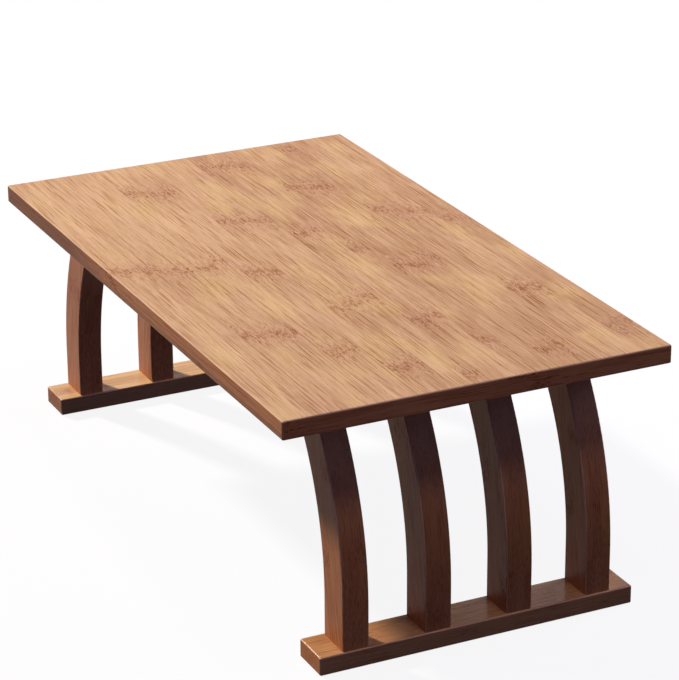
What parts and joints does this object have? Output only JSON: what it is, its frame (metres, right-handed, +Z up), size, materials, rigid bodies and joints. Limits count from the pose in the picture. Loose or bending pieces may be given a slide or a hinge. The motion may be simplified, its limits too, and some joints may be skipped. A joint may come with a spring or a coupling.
{
  "type": "folding low table",
  "caption": "Low folding tea table of laminated bamboo, with a plain rectangular top and bowed slat leg frames that fold inward under it.",
  "frame": {"origin": "on the floor, under the middle of the top", "axes": "+X along the table towards its near end, +Y across it towards the back long side, +Z up"},
  "size_m": [0.8, 0.45, 0.294],
  "materials": {
    "bamboo": "satin lacquer",
    "bamboo_under": "satin lacquer",
    "hinge_steel": "zinc plated",
    "bolt_steel": "zinc plated",
    "screw_steel": "zinc plated"
  },
  "bodies": {
    "top": {"tabletop": "bamboo", "far_back_hinge_fixed_leaf": "hinge_steel", "far_back_hinge_pin": "hinge_steel", "far_batten_screws": "screw_steel", "far_bolt_base": "bolt_steel", "far_bolt_base_screws": "screw_steel", "far_fixed_leaf_screws": "screw_steel", "far_front_hinge_fixed_leaf": "hinge_steel", "far_front_hinge_pin": "hinge_steel", "far_hinge_batten": "bamboo_under", "near_back_hinge_fixed_leaf": "hinge_steel", "near_back_hinge_pin": "hinge_steel", "near_batten_screws": "screw_steel", "near_bolt_base": "bolt_steel", "near_bolt_base_screws": "screw_steel", "near_fixed_leaf_screws": "screw_steel", "near_front_hinge_fixed_leaf": "hinge_steel", "near_front_hinge_pin": "hinge_steel", "near_hinge_batten": "bamboo_under"},
    "near_leg": {"near_back_hinge_moving_leaf": "hinge_steel", "near_foot": "bamboo", "near_foot_to_slat_screws": "screw_steel", "near_front_hinge_moving_leaf": "hinge_steel", "near_moving_leaf_screws": "screw_steel", "near_rail_to_slat_screws": "screw_steel", "near_slat_1": "bamboo", "near_slat_2": "bamboo", "near_slat_3": "bamboo", "near_slat_4": "bamboo", "near_top_rail": "bamboo_under"},
    "far_leg": {"far_back_hinge_moving_leaf": "hinge_steel", "far_foot": "bamboo", "far_foot_to_slat_screws": "screw_steel", "far_front_hinge_moving_leaf": "hinge_steel", "far_moving_leaf_screws": "screw_steel", "far_rail_to_slat_screws": "screw_steel", "far_slat_1": "bamboo", "far_slat_2": "bamboo", "far_slat_3": "bamboo", "far_slat_4": "bamboo", "far_top_rail": "bamboo_under"},
    "near_bolt": {"near_bolt_knob": "bolt_steel", "near_bolt_rod": "bolt_steel"},
    "far_bolt": {"far_bolt_knob": "bolt_steel", "far_bolt_rod": "bolt_steel"}
  },
  "joints": [
    {"name": "near_leg_fold", "type": "hinge", "parent": "top", "child": "near_leg", "pos_m": [0.28519, 0, 0.2496], "axis": [0, 1, 0], "range_deg": [0, 109]},
    {"name": "far_leg_fold", "type": "hinge", "parent": "top", "child": "far_leg", "pos_m": [-0.28519, 0, 0.2496], "axis": [0, -1, 0], "range_deg": [0, 109]},
    {"name": "near_bolt_slide", "type": "slide", "parent": "top", "child": "near_bolt", "axis": [1, 0, 0], "range_m": [0, 0.018]},
    {"name": "far_bolt_slide", "type": "slide", "parent": "top", "child": "far_bolt", "axis": [-1, 0, 0], "range_m": [0, 0.018]}
  ]
}
